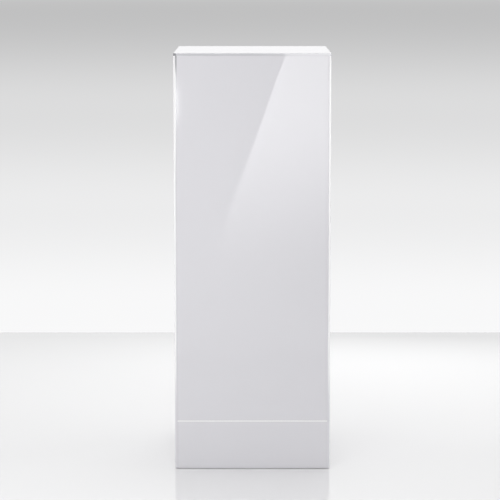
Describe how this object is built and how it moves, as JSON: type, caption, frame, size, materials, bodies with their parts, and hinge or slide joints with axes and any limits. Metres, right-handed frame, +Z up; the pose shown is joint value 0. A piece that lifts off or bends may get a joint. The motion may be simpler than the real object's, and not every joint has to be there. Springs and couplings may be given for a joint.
{
  "type": "display plinth",
  "caption": "Tall square white acrylic display plinth: a lift-off box cover on a low weighted base with levelling feet.",
  "frame": {"origin": "on the floor, under the middle of the plinth, with the feet wound in", "axes": "+Z up, -Y towards the front, +X to the right seen from the front"},
  "size_m": [0.3, 0.3, 0.806],
  "materials": {
    "white_acrylic": "gloss",
    "inner_acrylic": "gloss",
    "plywood": "satin",
    "hardwood": "satin",
    "ballast_steel": "matte",
    "zinc_steel": "satin",
    "insert_zinc": "satin",
    "stud_steel": "satin",
    "pad_nylon": "matte"
  },
  "bodies": {
    "base": {"base_front_panel": "white_acrylic", "base_right_panel": "white_acrylic", "base_rear_panel": "white_acrylic", "base_left_panel": "white_acrylic", "base_board": "plywood", "base_deck": "inner_acrylic", "corner_block_front_left": "hardwood", "corner_block_front_right": "hardwood", "corner_block_rear_right": "hardwood", "corner_block_rear_left": "hardwood", "upstand_front": "inner_acrylic", "upstand_right": "inner_acrylic", "upstand_rear": "inner_acrylic", "upstand_left": "inner_acrylic", "ballast_plate_lower": "ballast_steel", "ballast_plate_upper": "ballast_steel", "ballast_bolts": "zinc_steel", "ballast_washers": "zinc_steel", "ballast_nuts": "zinc_steel", "board_screws": "zinc_steel", "deck_screws": "zinc_steel", "foot_inserts": "insert_zinc"},
    "cover": {"cover_top_panel": "white_acrylic", "cover_front_panel": "white_acrylic", "cover_right_panel": "white_acrylic", "cover_rear_panel": "white_acrylic", "cover_left_panel": "white_acrylic", "corner_rod_front_left": "inner_acrylic", "corner_rod_front_right": "inner_acrylic", "corner_rod_rear_right": "inner_acrylic", "corner_rod_rear_left": "inner_acrylic", "top_rod_front": "inner_acrylic", "top_rod_right": "inner_acrylic", "top_rod_rear": "inner_acrylic", "top_rod_left": "inner_acrylic"},
    "pad_front_left": {"foot_pad_front_left": "pad_nylon"},
    "stud_front_left": {"foot_stud_front_left": "stud_steel"},
    "pad_front_right": {"foot_pad_front_right": "pad_nylon"},
    "stud_front_right": {"foot_stud_front_right": "stud_steel"},
    "pad_rear_right": {"foot_pad_rear_right": "pad_nylon"},
    "stud_rear_right": {"foot_stud_rear_right": "stud_steel"},
    "pad_rear_left": {"foot_pad_rear_left": "pad_nylon"},
    "stud_rear_left": {"foot_stud_rear_left": "stud_steel"}
  },
  "joints": [
    {"name": "cover_lift", "type": "slide", "parent": "base", "child": "cover", "axis": [0, 0, 1], "range_m": [0, 0.1]},
    {"name": "foot_lower_front_left", "type": "slide", "parent": "base", "child": "pad_front_left", "axis": [0, 0, -1], "range_m": [0, 0.012]},
    {"name": "foot_turn_front_left", "type": "hinge", "parent": "pad_front_left", "child": "stud_front_left", "pos_m": [-0.1, -0.1, 0], "axis": [0, 0, -1], "range_deg": [0, 3456]},
    {"name": "foot_lower_front_right", "type": "slide", "parent": "base", "child": "pad_front_right", "axis": [0, 0, -1], "range_m": [0, 0.012]},
    {"name": "foot_turn_front_right", "type": "hinge", "parent": "pad_front_right", "child": "stud_front_right", "pos_m": [0.1, -0.1, 0], "axis": [0, 0, -1], "range_deg": [0, 3456]},
    {"name": "foot_lower_rear_right", "type": "slide", "parent": "base", "child": "pad_rear_right", "axis": [0, 0, -1], "range_m": [0, 0.012]},
    {"name": "foot_turn_rear_right", "type": "hinge", "parent": "pad_rear_right", "child": "stud_rear_right", "pos_m": [0.1, 0.1, 0], "axis": [0, 0, -1], "range_deg": [0, 3456]},
    {"name": "foot_lower_rear_left", "type": "slide", "parent": "base", "child": "pad_rear_left", "axis": [0, 0, -1], "range_m": [0, 0.012]},
    {"name": "foot_turn_rear_left", "type": "hinge", "parent": "pad_rear_left", "child": "stud_rear_left", "pos_m": [-0.1, 0.1, 0], "axis": [0, 0, -1], "range_deg": [0, 3456]}
  ],
  "couplings": [
    {"joint": "foot_turn_front_left", "follows": "foot_lower_front_left", "rad_per_m": 5026.5},
    {"joint": "foot_turn_front_right", "follows": "foot_lower_front_right", "rad_per_m": 5026.5},
    {"joint": "foot_turn_rear_right", "follows": "foot_lower_rear_right", "rad_per_m": 5026.5},
    {"joint": "foot_turn_rear_left", "follows": "foot_lower_rear_left", "rad_per_m": 5026.5}
  ]
}
